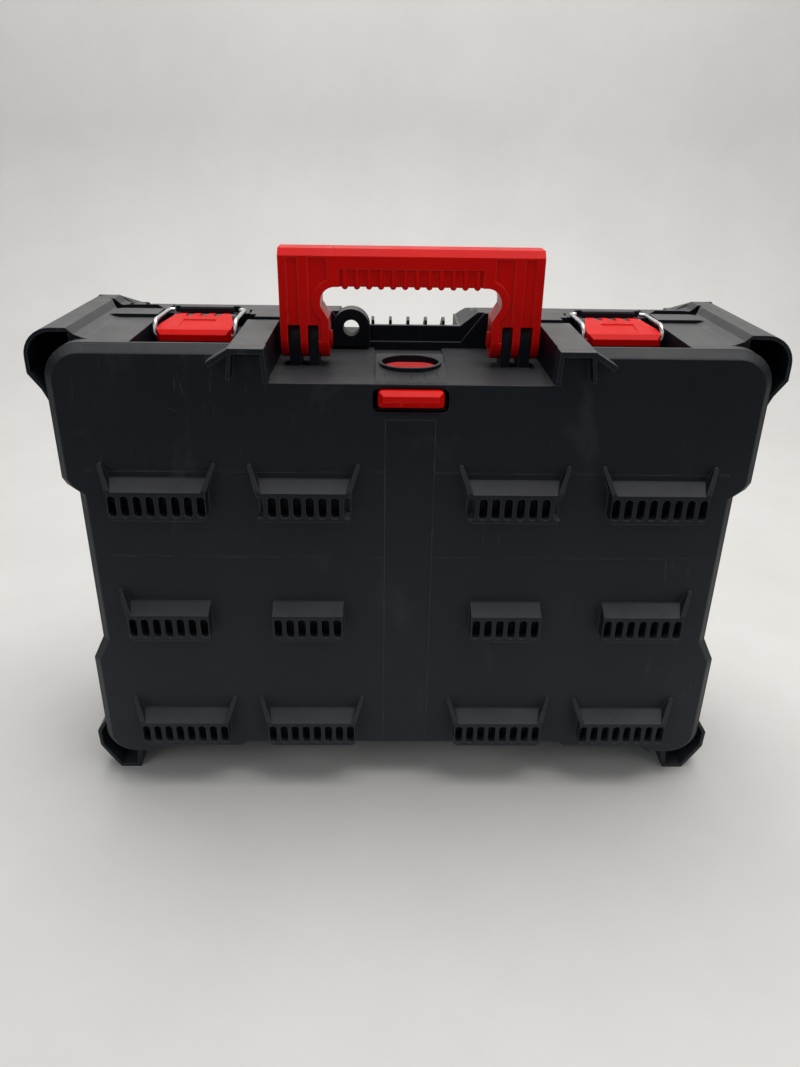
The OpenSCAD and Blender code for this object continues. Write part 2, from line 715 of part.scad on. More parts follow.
// wedge that lowers the lid's top behind the rim
fall_y = lid_front + rim_depth + 14;
module back_fall() along_x(-body_half + 33, body_half - 33) polygon([[fall_y, lip_z + 0.1],
    [case_depth + 1, lip_z - 3.2], [case_depth + 1, lip_z + 9], [fall_y, lip_z + 9]]);

module lid_bumper_ends() hull() {
    along_y(case_depth - 16, case_depth - 15.9) polygon([[body_half - 30, lip_z - 1],
        [body_half - 14, bumper_z], [bumper_x - 14, bumper_z], [bumper_x, bumper_z - 14],
        [bumper_x, bumper_z - 30], [body_half - 9, bumper_z - 50]]);
    along_y(case_depth - 4, case_depth - 3.9) polygon([[body_half - 30, lip_z - 1],
        [body_half - 20, lip_z - 0.5], [body_half - 1, lip_z - 22], [body_half - 1, bumper_z - 50],
        [body_half - 9, bumper_z - 50]]);
}

module lid_shell() color(case_black) in_case() difference() {
    union() {
        difference() {
            union() {
                back_end();
                slab(lid_front, case_depth - edge + lap, 0);
                slab(lid_front, lid_front + rim_depth, -rim_out);
                both_sides() difference() {
                    bumper_skins([lid_front, lid_front], case_depth - 16, case_depth);
                    difference() {
                        bumper_hollows([lid_front, lid_front], case_depth - 20);
                        slab(0, case_depth, 0);
                    }
                }
                both_sides() lid_bumper_ends();
            }
            lid_hollow(lid_front + wall, case_depth - edge + over, wall);
            lid_hollow(case_depth - edge, case_depth - wall, edge);
            along_y(lid_front - 1, lid_front + wall + 1) polygon(mouth(rim_land));
            lid_notch();
            back_fall();
            both_sides() {
                rim_slot();
                keeper_gap();
            }
        }
        both_sides() {
            keeper();
            lid_knuckles();
            box(notch_top_half + 1, body_half - 36, fall_y - 4, case_depth - wall + 0.5,
                lip_z - 2 * wall, lip_z - wall);
        }
        for (i = [0:notch_ribs - 1]) translate([(i - (notch_ribs - 1) / 2) * notch_rib_pitch, 0, 0])
            along_x(-1.1, 1.1) polygon([[lid_front + 3, notch_floor - 1], [lid_front + 3, lip_z - 4.5],
                [lid_front + 7, lip_z - 2.9], [lid_front + 10, lip_z - 2.9],
                [case_depth - 7, notch_floor + 1], [case_depth - 7, notch_floor - 1]]);
        // two small nubs on the left edge
        for (x = [-214, -201.6]) translate([x, lid_front + rim_depth - 1.8, rim_z]) sphere(d = 3, $fn = 24);
    }
    both_sides() rod_x(hinge_x - hinge_w, hinge_x + hinge_w, base_depth, hinge_z,
        hinge_pin_d + 2 * pin_fit);
    seal_band(lid_front - 1, seal_back);
    eye_seat(1);
}

// ---- lid seal --------------------------------------------------------------

seal_in = 1.6;
seal_w = 2.4;
seal_back = lid_front + 1.8;
module seal_band(y0, y1) along_y(y0, y1) difference() {
    polygon(mouth(seal_in));
    polygon(mouth(seal_in + seal_w));
}
module lid_seal() color([0.05, 0.05, 0.05]) in_case() seal_band(base_depth, seal_back);

// ---- handle ----------------------------------------------------------------

crest_z = pivot_z + handle_rise;
grip_z = crest_z - grip_h;
leg_in = handle_half - leg_w;
slot_top_z = pivot_z + ear_r + 1.5;

// opening under the grip, made larger all round by grow
module grip_opening(grow) {
    r = 10;
    half = leg_in + 5.5;
    for (s = [-1, 1]) translate([s * (half - r), grip_z - r]) circle(r = r + grow, $fn = 48);
    translate([-half + r, grip_z - 2 * r]) square([2 * (half - r), 2 * r + grow]);
    polygon([[-half - grow, grip_z - r], [half + grow, grip_z - r], [half + grow, pivot_z + 24],
        [leg_in + grow, pivot_z + 15], [leg_in + grow, pivot_z - 20], [-leg_in - grow, pivot_z - 20],
        [-leg_in - grow, pivot_z + 15], [-half - grow, pivot_z + 24]]);
}

// finger ribs: rounded bars round the grip's lower front edge
rib_d = 4.4;
module grip_rib(x) {
    y = handle_pivot_y - handle_t / 2 + rib_d / 2;
    z = grip_z + 0.4;
    translate([x, y, z]) cylinder(d = rib_d, h = 9.5, $fn = 24);
    translate([x, y, z + 9.5]) sphere(d = rib_d, $fn = 24);
    translate([x, y, z]) sphere(d = rib_d, $fn = 24);
    rod_y(y, handle_pivot_y + handle_t / 2 - 3, x, z, rib_d);
}

module handle() color(trim_red) in_case() {
    y0 = handle_pivot_y - handle_t / 2;
    y1 = handle_pivot_y + handle_t / 2;
    crown = 4.6;
    panel = 1.2;
    grip_rim = 5.2;
    band_half = (grip_ribs - 1) / 2 * grip_rib_pitch + 4;
    difference() {
        intersection() {
            along_y(y0, y1) difference() {
                translate([-handle_half, pivot_z - handle_t]) square([handle_w, handle_rise + handle_t]);
                grip_opening(0);
            }
            along_x(-handle_half, handle_half) {
                translate([handle_pivot_y, pivot_z]) circle(d = handle_t, $fn = 64);
                polygon([[y0, pivot_z], [y0, crest_z - crown], [y0 + crown, crest_z],
                    [y1 - crown, crest_z], [y1, crest_z - crown], [y1, pivot_z]]);
            }
        }
        both_sides() {
            for (ear = [outer_ear, inner_ear]) box(ear[0] - side_fit, ear[1] + side_fit, y0 - 1, y1 + 1,
                pivot_z - handle_t, slot_top_z);
            for (y = [y0 - 1, y1 - panel]) {
                box(handle_half - 13, handle_half - 5.6, y, y + panel + 1, pivot_z, crest_z - crown - 1);
                along_y(y, y + panel + 1) difference() {
                    translate([handle_half - 33, pivot_z]) square([13, crest_z - crown - 1 - pivot_z]);
                    grip_opening(grip_rim);
                }
            }
            rod_x(leg_in - 1, handle_half + 1, handle_pivot_y, pivot_z, handle_pin_d);
        }
        box(-band_half, band_half, y0 - 1, y0 + 2, grip_z - 1, grip_z + 11.5);
    }
    for (i = [0:grip_ribs - 1]) grip_rib((i - (grip_ribs - 1) / 2) * grip_rib_pitch);
}

module handle_pin(side) color(zinc) in_case() mirror([side < 0 ? 1 : 0, 0, 0])
    rod_x(leg_in, handle_half + 0.8, handle_pivot_y, pivot_z, handle_pin_d);

module handle_pin_cap(side) color(trim_red) in_case() mirror([side < 0 ? 1 : 0, 0, 0])
    rod_x(leg_in - 1.7, leg_in, handle_pivot_y, pivot_z, 11.4);

// ---- latches, drawn for the right side -------------------------------------

bail_y = latch_y - bail_reach;
bail_z = latch_z - 3;
bail_hook = 4;
bail_hook_y = base_depth - 2.5;
bail_hook_z = lip_z + 2.5;
bail_half = lever_w / 2 + bail_wire_d / 2 + 0.6;
bend_swell = 0.3;

module lever() {
    y0 = latch_y - lever_reach;
    y1 = latch_y - finger_r - 0.5;
    h = lever_w / 2;
    back = finger_span / 2 + 1.8;
    difference() {
        intersection() {
            along_x(latch_x - h, latch_x + h) polygon([[y0, latch_z - 5], [y0, latch_z - 0.5],
                [y0 + 3.5, latch_z + 2.6], [y1, latch_z + 5.8], [y1, latch_z - 2],
                [y1 - 6, latch_z - 4], [y0 + 22, latch_z - 6], [y0 + 3, latch_z - 6]]);
            translate([latch_x, 0, latch_z - 20]) linear_extrude(40) polygon([[-h + 4, y0 - 1],
                [-h, y0 + 4], [-h, y0 + 18], [-back, y1], [-back, y1 + 1], [back, y1 + 1], [back, y1],
                [h, y0 + 18], [h, y0 + 4], [h - 4, y0 - 1]]);
        }
        rod_x(latch_x - h - 1, latch_x + h + 1, bail_y, bail_z, bail_wire_d + 2 * pin_fit);
        translate([latch_x - 12, y0 + 11, latch_z + 2.55]) rotate([4.6, 0, 0]) cube([24, 18, 5]);
        for (i = [0:fingers - 2]) box(latch_x + (i - (fingers - 2) / 2) * finger_pitch - 2.4,
            latch_x + (i - (fingers - 2) / 2) * finger_pitch + 2.4, y1 - 5, y1 + 1, latch_z, latch_z + 9);
    }
    for (i = [0:fingers - 1]) {
        x = latch_x - finger_span / 2 + i * finger_pitch;
        difference() {
            union() {
                rod_x(x, x + finger_w, latch_y, latch_z, 2 * finger_r);
                box(x, x + finger_w, y1 - 1, latch_y, latch_z - 2, latch_z + finger_r);
            }
            rod_x(x - 1, x + finger_w + 1, latch_y, latch_z, latch_pin_d + 2 * pin_fit);
        }
    }
}

// bail: two bent arms, each with a stub in the lever and a hook beside the keeper
module bail() {
    path = [[bail_y, bail_z], [bail_y + 3.5, bail_hook_z + 0.8], [bail_hook_y, bail_hook_z]];
    for (s = [-1, 1]) {
        x = latch_x + s * bail_half;
        inner = latch_x + s * (lever_w / 2 - 5);
        hook = latch_x + s * (keeper_w / 2 - bail_hook + 0.7);
        rod_x(min(x, inner), max(x, inner), bail_y, bail_z, bail_wire_d);
        rod_x(min(x, hook), max(x, hook), bail_hook_y, bail_hook_z, bail_wire_d);
        for (i = [1:len(path) - 1]) arm(x, path[i - 1], path[i]);
        for (p = path) translate([x, p[0], p[1]]) sphere(d = bail_wire_d + bend_swell, $fn = 32);
    }
    rod_x(latch_x - lever_w / 2 + 5, latch_x + lever_w / 2 - 5, bail_y, bail_z, bail_wire_d);
}
module arm(x, a, b) translate([x, a[0], a[1]])
    rotate([atan2(b[1] - a[1], b[0] - a[0]) - 90, 0, 0])
        cylinder(d = bail_wire_d, h = norm(b - a), $fn = 32);

module placed_side(side) in_case() mirror([side < 0 ? 1 : 0, 0, 0]) children();
module latch_lever(side) color(trim_red) placed_side(side) lever();
module latch_bail(side) color(zinc) placed_side(side) bail();
latch_pin_half = finger_span / 2 + side_fit + end_post_w;
module latch_pin(side) color(zinc) placed_side(side)
    rod_x(latch_x - latch_pin_half, latch_x + latch_pin_half, latch_y, latch_z, latch_pin_d);

base_shell();
lid_shell();
lid_seal();
hinge_pin(-1);  // hinge_pin_left
hinge_pin(1);  // hinge_pin_right
handle();
handle_pin(-1);  // handle_pin_left
handle_pin(1);  // handle_pin_right
handle_pin_cap(-1);  // handle_pin_cap_left
handle_pin_cap(1);  // handle_pin_cap_right
latch_lever(-1);  // latch_lever_left
latch_lever(1);  // latch_lever_right
latch_pin(-1);  // latch_pin_left
latch_pin(1);  // latch_pin_right
latch_bail(-1);  // latch_bail_left
latch_bail(1);  // latch_bail_right
release_slide();
slide_cover();
slide_spring(-1);  // slide_spring_left
slide_spring(1);  // slide_spring_right
slide_screws();
padlock_eye(eye_base);  // padlock_eye_base
padlock_eye(eye_lid);  // padlock_eye_lid
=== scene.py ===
"""Looks for the hard tool case: finishes, bent wire pieces, stage, light and the photo's view."""
import json
import math

import bmesh
import bpy
from mathutils import Matrix, Vector


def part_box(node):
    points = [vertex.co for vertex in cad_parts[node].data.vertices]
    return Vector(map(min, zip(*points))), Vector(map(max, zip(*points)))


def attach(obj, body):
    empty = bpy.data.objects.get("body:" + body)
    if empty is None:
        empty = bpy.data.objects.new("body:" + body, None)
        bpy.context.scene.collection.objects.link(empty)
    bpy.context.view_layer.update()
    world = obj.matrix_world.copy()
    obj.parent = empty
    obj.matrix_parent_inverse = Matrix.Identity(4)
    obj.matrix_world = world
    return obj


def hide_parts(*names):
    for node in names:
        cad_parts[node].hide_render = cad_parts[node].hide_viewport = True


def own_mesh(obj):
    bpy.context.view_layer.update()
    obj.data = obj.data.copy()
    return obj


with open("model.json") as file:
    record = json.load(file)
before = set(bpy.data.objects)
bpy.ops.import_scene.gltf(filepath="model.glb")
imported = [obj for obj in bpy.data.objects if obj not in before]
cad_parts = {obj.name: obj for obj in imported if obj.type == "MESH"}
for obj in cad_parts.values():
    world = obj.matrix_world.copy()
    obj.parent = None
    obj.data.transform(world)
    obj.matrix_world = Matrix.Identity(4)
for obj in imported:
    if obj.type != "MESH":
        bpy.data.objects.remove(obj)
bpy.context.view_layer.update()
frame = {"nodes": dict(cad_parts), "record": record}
MM = 0.001

# ---- places and sizes that follow the CAD ------------------------------------------------------

case_low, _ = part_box("base_shell")
CLEAT_DEPTH = 12 * MM                   # how far the cleats stand off the face
FACE_Y = case_low.y + CLEAT_DEPTH       # the base's front face, behind the cleats

# the bail's line is set from the CAD bail's box, and drawn as slightly thicker wire
BAIL_CAD_RADIUS = 1.5 * MM
BAIL_WIRE_RADIUS = 1.6 * MM
BAIL_INNER_X = 4 * MM                   # where each arm ends inside the lever, from the middle
BAIL_HOOK = 4 * MM                      # how far the hook's end turns in
BAIL_LEAN = 3.5 * MM                    # how far the arm leans back on its way up
BAIL_DIP = 0.8 * MM                     # how far the hook lies below the arm's top
BAIL_BENDS = (3 * MM, 9 * MM, 2.5 * MM)

SPRING_WIRE_RADIUS = 0.4 * MM
SPRING_TURNS = 7
SPRING_POINTS_PER_TURN = 20
SPRING_SIDES = 8

# ---- colours, linear ---------------------------------------------------------------------------

BLACK_DEEP = (0.0040, 0.0066, 0.0112, 1)
BLACK_HAZED = (0.0080, 0.0112, 0.0170, 1)
BLACK_LOW = (0.0300, 0.0355, 0.0430, 1)
DUST_AND_TOP_LIGHT = (0.112, 0.112, 0.114, 1)
SMUDGE = (0.050, 0.058, 0.070, 1)
SCUFF = (0.10, 0.112, 0.128, 1)
BLACK_WORN_AND_HIGHLIT = (0.17, 0.178, 0.188, 1)
RED_DEEP = (0.50, 0.0015, 0.0022, 1)
RED_BRIGHT = (0.66, 0.0040, 0.0020, 1)
RED_MARK = (0.78, 0.12, 0.10, 1)
RED_WORN_AND_HIGHLIT = (0.98, 0.085, 0.055, 1)
ZINC_CLOUDED = (0.52, 0.55, 0.57, 1)
ZINC_CLEAR = (0.80, 0.82, 0.83, 1)
RUBBER = (0.010, 0.010, 0.010, 1)
RUBBER_BLOOM = (0.04, 0.04, 0.04, 1)
FLOOR_PAINT = (0.70, 0.695, 0.685, 1)
FLOOR_GRIME = (0.64, 0.635, 0.62, 1)
SKY = (0.86, 0.87, 0.90, 1)

# ---- where the black plastic's layers lie, and how strongly they cover it ------------------------

UPPER_FACES = (337 * MM, 350 * MM)      # heights between which the case's upper faces begin
LOW_BAND = (20 * MM, 300 * MM)          # heights over which the light from the floor fades
CLEAT_BAND = (1.2 * MM, 0.6 * MM)       # distances in front of the face where the cleats begin
BIG_EDGE_DEPTH = 3 * MM                 # middle of the eased edge round the face, behind the face
BIG_EDGE_BAND = (3.2 * MM, 5 * MM)
# how strongly the dust and painted top light cover the lower faces and the cleats
DUST_AND_TOP_LIGHT_BELOW = 0.36
DUST_AND_TOP_LIGHT_ON_CLEATS = 0.62
LOW_LIGHT = 0.8
SMUDGE_COVER = 0.30
SCUFF_COVER = 0.38
WORN_AND_HIGHLIT_COVER = 0.7

# ---- shader building helpers -------------------------------------------------------------------

BEVEL_SAMPLES = 6
EDGE_LEAST_LEAN, EDGE_FULL_LEAN = 0.01, 0.35


class Nodes:
    """A small wrapper that adds shader nodes to one material and links them."""

    def __init__(self, name):
        self.material = bpy.data.materials.new(name)
        self.material.use_nodes = True
        self.tree = self.material.node_tree
        self.bsdf = self.tree.nodes["Principled BSDF"]
        self.coords = self.add("ShaderNodeTexCoord")
        self.place = self.coords.outputs["Object"]

    def add(self, kind, **settings):
        node = self.tree.nodes.new(kind)
        for key, value in settings.items():
            setattr(node, key, value)
        return node

    def link(self, source, target):
        self.tree.links.new(source, target)

    def value(self, target, thing):
        """Links a socket, or sets a plain number or colour."""
        if isinstance(thing, bpy.types.NodeSocket):
            self.link(thing, target)
        else:
            target.default_value = thing

    def noise(self, scale, detail=4.0, rough=0.55, stretch=(1, 1, 1), distortion=0.0):
        mapping = self.add("ShaderNodeMapping")
        mapping.inputs["Scale"].default_value = stretch
        self.link(self.place, mapping.inputs["Vector"])
        node = self.add("ShaderNodeTexNoise")
        self.link(mapping.outputs[0], node.inputs["Vector"])
        node.inputs["Scale"].default_value = scale
        node.inputs["Detail"].default_value = detail
        node.inputs["Roughness"].default_value = rough
        node.inputs["Distortion"].default_value = distortion
        return node.outputs["Fac"]

    def ramp(self, source, low, high, out_low=0.0, out_high=1.0):
        node = self.add("ShaderNodeMapRange")
        self.link(source, node.inputs["Value"])
        node.inputs["From Min"].default_value = low
        node.inputs["From Max"].default_value = high
        node.inputs["To Min"].default_value = out_low
        node.inputs["To Max"].default_value = out_high
        return node.outputs[0]

    def math(self, operation, a, b=0.0):
        node = self.add("ShaderNodeMath", operation=operation)
        self.value(node.inputs[0], a)
        self.value(node.inputs[1], b)
        return node.outputs[0]

    def times(self, a, b):
        return self.math("MULTIPLY", a, b)

    def mix(self, factor, a, b):
        node = self.add("ShaderNodeMix", data_type="RGBA")
        self.value(node.inputs["Factor"], factor)
        self.value(node.inputs["A"], a)
        self.value(node.inputs["B"], b)
        return node.outputs["Result"]

    def axis(self, name, vector=None):
        """One axis of a vector, by default of the place on the object."""
        node = self.add("ShaderNodeSeparateXYZ")
        self.link(self.place if vector is None else vector, node.inputs[0])
        return node.outputs[name]

    def bevelled_normal(self, radius):
        node = self.add("ShaderNodeBevel", samples=BEVEL_SAMPLES)
        node.inputs["Radius"].default_value = radius
        return node.outputs["Normal"]

    def edge_mask(self, radius):
        """1 along sharp edges, 0 on flats: how far a bevelled normal leans from the true one."""
        bevel = self.bevelled_normal(radius)
        true = self.add("ShaderNodeNewGeometry").outputs["Normal"]
        dot = self.add("ShaderNodeVectorMath", operation="DOT_PRODUCT")
        self.link(bevel, dot.inputs[0])
        self.link(true, dot.inputs[1])
        return self.ramp(dot.outputs["Value"], 1.0 - EDGE_LEAST_LEAN, 1.0 - EDGE_FULL_LEAN)

    def bump(self, height, distance, strength, normal=None):
        node = self.add("ShaderNodeBump")
        node.inputs["Strength"].default_value = strength
        node.inputs["Distance"].default_value = distance
        self.link(height, node.inputs["Height"])
        if normal is not None:
            self.link(normal, node.inputs["Normal"])
        return node.outputs["Normal"]

    def surface(self, **sockets):
        names = {"color": "Base Color", "rough": "Roughness", "metal": "Metallic",
                 "normal": "Normal", "specular": "Specular IOR Level"}
        for key, thing in sockets.items():
            self.value(self.bsdf.inputs[names[key]], thing)
        return self.material


# ---- materials ---------------------------------------------------------------------------------

def plastic_scuffs(n):
    """Long faint scratches, mostly upright, and curved nicks, kept to rubbed patches."""
    streak_noise = n.noise(26, detail=5, rough=0.7, stretch=(9, 9, 1), distortion=0.6)
    nick_noise = n.noise(38, detail=6, rough=0.72, stretch=(1, 1, 2.6), distortion=2.2)
    marks = n.math("MAXIMUM", n.ramp(streak_noise, 0.62, 0.70), n.ramp(nick_noise, 0.655, 0.70))
    patches = n.ramp(n.noise(9, detail=6, rough=0.65), 0.47, 0.66)
    return n.times(marks, patches)


def plastic_dust_and_top_light(n, height_z, on_cleats):
    """Dust and painted top light on what faces up: full on the case's upper faces, less on the
    cleats and below; the paleness stands partly for dust, partly for the overhead lamp's sheen.
    """
    below = n.ramp(height_z, *UPPER_FACES, out_low=DUST_AND_TOP_LIGHT_BELOW, out_high=1.0)
    shelf = n.math("MAXIMUM", below, n.times(on_cleats, DUST_AND_TOP_LIGHT_ON_CLEATS))
    facing_up = n.ramp(n.axis("Z", n.coords.outputs["Normal"]), 0.25, 0.97)
    on_top = n.times(shelf, n.math("POWER", facing_up, 1.6))
    uneven = n.ramp(n.noise(40, detail=7, rough=0.75), 0.3, 0.75, out_low=0.62, out_high=1.0)
    return n.times(on_top, uneven)


def plastic_edge_wear_and_highlight(n, radius):
    """Wear and painted highlight along the edges, patchy."""
    return n.times(n.edge_mask(radius), n.ramp(n.noise(60), 0.35, 0.65, out_low=0.35))


def case_plastic():
    """Black moulded plastic: fine spark texture, coarser on the cleats, dust with painted top
    light, scuffs, and wear with painted edge highlights.

    Part of the photograph's light is in the colour, which is paler low down, where the pale floor
    lights the case, and on the faces that look up.
    """
    n = Nodes("case_plastic")
    depth_y, height_z = n.axis("Y"), n.axis("Z")
    on_cleats = n.ramp(depth_y, *[FACE_Y - d for d in CLEAT_BAND], out_low=1.0, out_high=0.0)
    haze = n.ramp(n.noise(14, detail=8, rough=0.72), 0.38, 0.78)
    low_down = n.ramp(height_z, *LOW_BAND, out_low=1.0, out_high=0.0)
    smudge_noise = n.noise(17, detail=6, rough=0.62, stretch=(1.6, 1, 0.7), distortion=0.5)

    color = n.mix(haze, BLACK_DEEP, BLACK_HAZED)
    color = n.mix(n.times(low_down, LOW_LIGHT), color, BLACK_LOW)
    # painted top light: faces that look up are paler, partly dust, partly a painted sheen of the
    # overhead lamp
    color = n.mix(plastic_dust_and_top_light(n, height_z, on_cleats), color, DUST_AND_TOP_LIGHT)
    color = n.mix(n.times(n.ramp(smudge_noise, 0.60, 0.74), SMUDGE_COVER), color, SMUDGE)
    color = n.mix(n.times(plastic_scuffs(n), SCUFF_COVER), color, SCUFF)
    # pale edges: partly wear, partly painted highlight where the edges catch the light
    color = n.mix(n.times(plastic_edge_wear_and_highlight(n, 0.9 * MM), WORN_AND_HIGHLIT_COVER), color, BLACK_WORN_AND_HIGHLIT)

    rough = n.math("ADD", n.ramp(haze, 0, 1, out_low=0.42, out_high=0.54), n.times(on_cleats, 0.08))

    fine = n.times(n.noise(2600, detail=3, rough=0.6), 0.5)
    coarse = n.times(n.times(n.noise(900, detail=3, rough=0.65), on_cleats), 1.5)
    # the eased edge round the front face reads as one soft round, the others as small ones
    from_edge = n.math("ABSOLUTE", n.math("SUBTRACT", depth_y, FACE_Y + BIG_EDGE_DEPTH))
    near_edge = n.ramp(from_edge, *BIG_EDGE_BAND, out_low=1.0, out_high=0.0)
    soft = n.mix(near_edge, n.bevelled_normal(0.9 * MM), n.bevelled_normal(3 * MM))
    normal = n.bump(n.math("ADD", fine, coarse), 0.05 * MM, 0.6, soft)
    return n.surface(color=color, rough=rough, normal=normal, specular=0.16)


def red_plastic():
    """Glossy red moulding with a faint orange-peel surface, pale edges that are partly wear and
    partly painted highlight, and small marks.
    """
    n = Nodes("red_plastic")
    mark_noise = n.noise(90, detail=6, rough=0.75, stretch=(1, 1, 6), distortion=0.8)
    rubbed_and_highlit = n.times(n.edge_mask(1.1 * MM), n.ramp(n.noise(48), 0.3, 0.62, out_low=0.35))
    color = n.mix(n.noise(30, detail=5, rough=0.6), RED_DEEP, RED_BRIGHT)
    color = n.mix(n.times(n.ramp(mark_noise, 0.69, 0.74), 0.22), color, RED_MARK)
    # pale red edges: partly wear, partly painted highlight
    color = n.mix(n.times(rubbed_and_highlit, 0.8), color, RED_WORN_AND_HIGHLIT)
    gloss_noise = n.noise(45, detail=5, rough=0.6)
    rough = n.ramp(gloss_noise, 0.3, 0.7, out_low=0.27, out_high=0.40)
    peel = n.noise(700, detail=2, rough=0.5)
    normal = n.bump(peel, 0.03 * MM, 0.35, n.bevelled_normal(0.8 * MM))
    return n.surface(color=color, rough=rough, normal=normal, specular=0.08)


def zinc_steel():
    """Bright zinc-plated wire and pins, lightly clouded, with fine drawing lines."""
    n = Nodes("zinc_steel")
    cloud = n.noise(160, detail=5, rough=0.6)
    lines = n.noise(2200, detail=2, rough=0.5, stretch=(1, 0.05, 1))
    color = n.mix(cloud, ZINC_CLOUDED, ZINC_CLEAR)
    rough = n.ramp(cloud, 0.3, 0.7, out_low=0.22, out_high=0.38)
    return n.surface(color=color, rough=rough, metal=1.0, normal=n.bump(lines, 0.02 * MM, 0.3))


def seal_rubber():
    """Matt black rubber with a faint talc bloom."""
    n = Nodes("seal_rubber")
    bloom = n.noise(220, detail=5, rough=0.65)
    color = n.mix(n.ramp(bloom, 0.45, 0.8), RUBBER, RUBBER_BLOOM)
    return n.surface(color=color, rough=0.75, normal=n.bump(bloom, 0.04 * MM, 0.4))


def floor_finish():
    """Pale painted floor with faint grime, kept plain."""
    n = Nodes("floor_finish")
    grime = n.ramp(n.noise(5, detail=9, rough=0.7), 0.35, 0.8)
    return n.surface(color=n.mix(grime, FLOOR_PAINT, FLOOR_GRIME), rough=0.7, specular=0.3)


FINISHES = {"case_plastic": case_plastic(), "red_plastic": red_plastic(),
            "zinc_steel": zinc_steel(), "seal_rubber": seal_rubber()}


def dress(obj, finish):
    obj.data.materials.clear()
    obj.data.materials.append(FINISHES[finish])


for part in frame["record"]["subparts"]:
    dress(frame["nodes"][part["node"]], part["material_slot"])

# ---- bent wire: the latch bails and the slide's springs -----------------------------------------

ARC_STEPS = 8
LONGEST_ARC_REACH = 0.49                # of a straight's length, so that two arcs never meet
DOMED_END = 0.6                         # height of a wire's domed end, of its radius


def rounded_path(corners, radii):
    """A line through corners whose inner corners are replaced by arcs of the given radii."""
    line = [corners[0]]
    for before, corner, after, radius in zip(corners, corners[1:], corners[2:], radii):
        back, on = (before - corner).normalized(), (after - corner).normalized()
        half = math.acos(max(-1.0, min(1.0, back.dot(on)))) / 2
        reach = min(radius / math.tan(half), (before - corner).length * LONGEST_ARC_REACH,
                    (after - corner).length * LONGEST_ARC_REACH)
        start, end = corner + back * reach, corner + on * reach
        for i in range(ARC_STEPS + 1):
            t = i / ARC_STEPS
            line.append((1 - t) ** 2 * start + 2 * t * (1 - t) * corner + t * t * end)
    line.append(corners[-1])
    return line


def wire(mesh, line, radius, sides=16):
    """Adds a round tube with domed ends along a line to a bmesh."""
    heading = (line[1] - line[0]).normalized()
    across = heading.orthogonal().normalized()
    rings = []
    for i, point in enumerate(line):
        ahead = (line[min(i + 1, len(line) - 1)] - line[max(i - 1, 0)]).normalized()
        across = (across - ahead * across.dot(ahead)).normalized()
        up = ahead.cross(across)
        rings.append([mesh.verts.new(point + radius * (math.cos(a) * across + math.sin(a) * up))
                      for a in [2 * math.pi * k / sides for k in range(sides)]])
    for ring, following in zip(rings, rings[1:]):
        for k in range(sides):
            m = (k + 1) % sides
            mesh.faces.new((ring[k], ring[m], following[m], following[k])).smooth = True
    for ring, point, nearby in ((rings[0], line[0], line[1]), (rings[-1], line[-1], line[-2])):
        tip = mesh.verts.new(point + (point - nearby).normalized() * radius * DOMED_END)
        for k in range(sides):
            mesh.faces.new((ring[k], ring[(k + 1) % sides], tip)).smooth = True


def add_piece(name, mesh, finish):
    bmesh.ops.recalc_face_normals(mesh, faces=mesh.faces)
    data = bpy.data.meshes.new(name)
    mesh.to_mesh(data)
    mesh.free()
    piece = bpy.data.objects.new(name, data)
    bpy.context.scene.collection.objects.link(piece)
    dress(piece, finish)
    return piece


def bail(side):
    """Two bent arms joined through the lever, each hooked in beside the keeper."""
    node = "latch_bail_" + side
    lo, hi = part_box(node)
    middle = (lo.x + hi.x) / 2
    low_y, low_z = lo.y + BAIL_CAD_RADIUS, lo.z + BAIL_CAD_RADIUS
    hook_y, top_z = hi.y - BAIL_CAD_RADIUS, hi.z - BAIL_CAD_RADIUS
    hook_z = top_z - BAIL_DIP
    mesh = bmesh.new()
    for turn in (-1, 1):
        arm_x = middle + turn * ((hi.x - lo.x) / 2 - BAIL_CAD_RADIUS)
        corners = [Vector((middle + turn * BAIL_INNER_X, low_y, low_z)),
                   Vector((arm_x, low_y, low_z)),
                   Vector((arm_x, low_y + BAIL_LEAN, top_z)),
                   Vector((arm_x, hook_y, hook_z)),
                   Vector((arm_x - turn * BAIL_HOOK, hook_y, hook_z))]
        wire(mesh, rounded_path(corners, BAIL_BENDS), BAIL_WIRE_RADIUS)
    piece = add_piece("bail_wire_" + side, mesh, "zinc_steel")
    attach(piece, "bail_" + side)
    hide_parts(node)


def slide_spring(side):
    """Coil spring behind the release slide, fixed to the base at one length."""
    node = "slide_spring_" + side
    lo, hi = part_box(node)
    middle = (lo + hi) / 2
    length = hi.y - lo.y
    coil = (hi.x - lo.x) / 2 - SPRING_WIRE_RADIUS
    points = SPRING_TURNS * SPRING_POINTS_PER_TURN
    line = []
    for i in range(points + 1):
        turn = 2 * math.pi * i / SPRING_POINTS_PER_TURN
        along = lo.y + SPRING_WIRE_RADIUS + (length - 2 * SPRING_WIRE_RADIUS) * i / points
        line.append(Vector((middle.x + coil * math.cos(turn), along,
                            middle.z + coil * math.sin(turn))))
    mesh = bmesh.new()
    wire(mesh, line, SPRING_WIRE_RADIUS, SPRING_SIDES)
    piece = add_piece("slide_coil_" + side, mesh, "zinc_steel")
    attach(piece, "base")
    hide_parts(node)
    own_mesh(piece)


bail("left")
bail("right")
slide_spring("left")
slide_spring("right")

# ---- stage, light and camera ---------------------------------------------------------------------

SWEEP_STEPS = 16


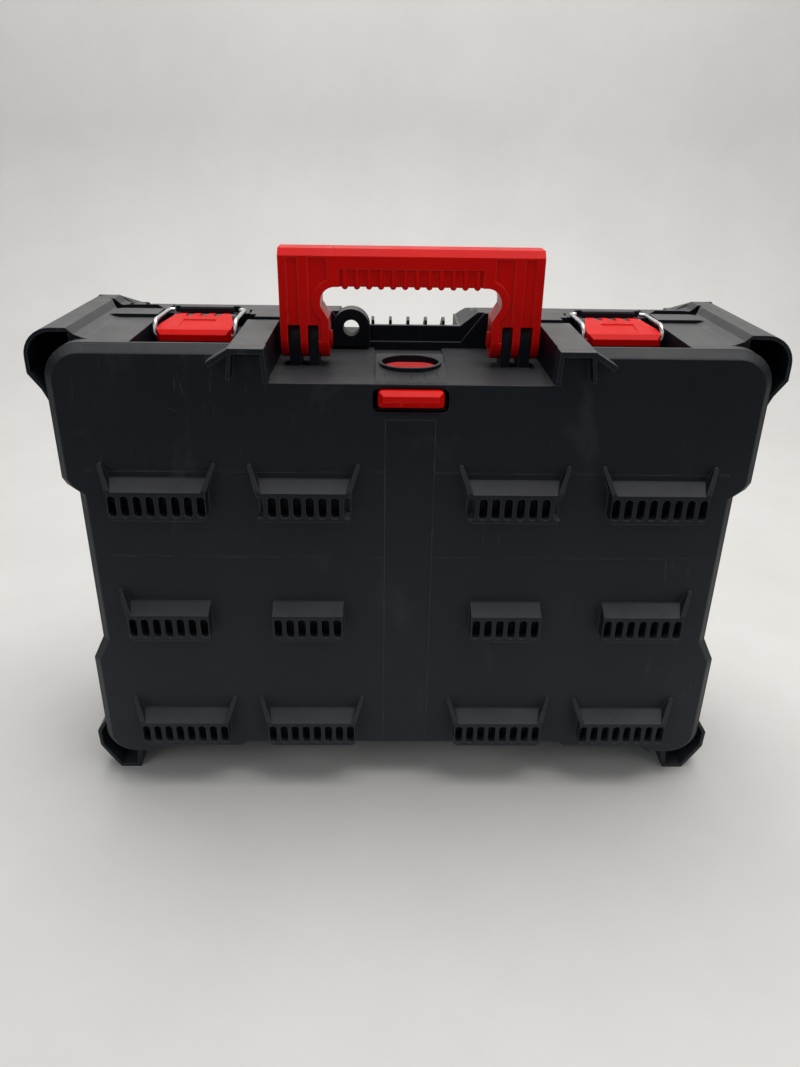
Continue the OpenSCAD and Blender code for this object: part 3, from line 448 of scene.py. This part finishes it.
def sweep_stage():
    """Floor that curves up into a backdrop."""
    half, front, back, radius, top = 3.0, -2.2, 0.75, 0.5, 2.6
    line = [(front, 0.0), (back, 0.0)]
    for i in range(1, SWEEP_STEPS + 1):
        angle = math.pi / 2 * i / SWEEP_STEPS
        line.append((back + radius * math.sin(angle), radius - radius * math.cos(angle)))
    line.append((back + radius, top))
    mesh = bpy.data.meshes.new("studio_floor")
    points = [(x, y, z) for y, z in line for x in (-half, half)]
    faces = [(2 * i, 2 * i + 1, 2 * i + 3, 2 * i + 2) for i in range(len(line) - 1)]
    mesh.from_pydata(points, [], faces)
    mesh.polygons.foreach_set("use_smooth", [True] * len(faces))
    mesh.materials.append(floor_finish())
    floor = bpy.data.objects.new("studio_floor", mesh)
    bpy.context.scene.collection.objects.link(floor)


def area_light(name, place, target, size, watts, color):
    lamp = bpy.data.lights.new(name, "AREA")
    lamp.shape = "RECTANGLE"
    lamp.size, lamp.size_y = size
    lamp.energy = watts
    lamp.color = color
    obj = bpy.data.objects.new(name, lamp)
    obj.location = place
    obj.rotation_euler = (Vector(target) - Vector(place)).to_track_quat("-Z", "Y").to_euler()
    bpy.context.scene.collection.objects.link(obj)


def studio_light():
    """A large lamp overhead, a cool and a warm fill from the front, and a dim even sky."""
    area_light("overhead", place=(0.15, 0.25, 1.9), target=(0, 0.1, 0), size=(2.2, 1.4),
               watts=42, color=(1.0, 0.985, 0.955))
    area_light("front_left", place=(-1.5, -1.6, 1.5), target=(0, 0, 0.15), size=(1.2, 1.2),
               watts=7, color=(0.92, 0.96, 1.0))
    area_light("front_right", place=(1.7, -1.2, 1.3), target=(0, 0, 0.2), size=(1.0, 1.2),
               watts=4.5, color=(1.0, 0.95, 0.86))
    world = bpy.data.worlds.new("studio")
    bpy.context.scene.world = world
    world.use_nodes = True
    sky = world.node_tree.nodes["Background"]
    sky.inputs["Color"].default_value = SKY
    sky.inputs["Strength"].default_value = 0.21


def photo_camera():
    """The photograph's view: the focal length is assumed, and place and axes are fitted to it."""
    image_h, focal_px, sensor_mm = 1067, 830, 36
    right = Vector((0.999796, -0.014248, 0.014320))
    ahead = Vector((0.019041, 0.901469, -0.432420))
    above = Vector((-0.006748, 0.432605, 0.901556))
    place = (-0.0173, FACE_Y - 0.5357, 0.4811)
    lens = bpy.data.cameras.new("photo_view")
    lens.sensor_width = sensor_mm
    lens.lens = focal_px / image_h * sensor_mm
    camera = bpy.data.objects.new("photo_view", lens)
    turn = Matrix((right, above, -ahead)).transposed().to_4x4()
    camera.matrix_world = Matrix.Translation(place) @ turn
    bpy.context.scene.collection.objects.link(camera)
    bpy.context.scene.camera = camera


sweep_stage()
studio_light()
photo_camera()
bpy.context.scene.view_settings.view_transform = "Standard"
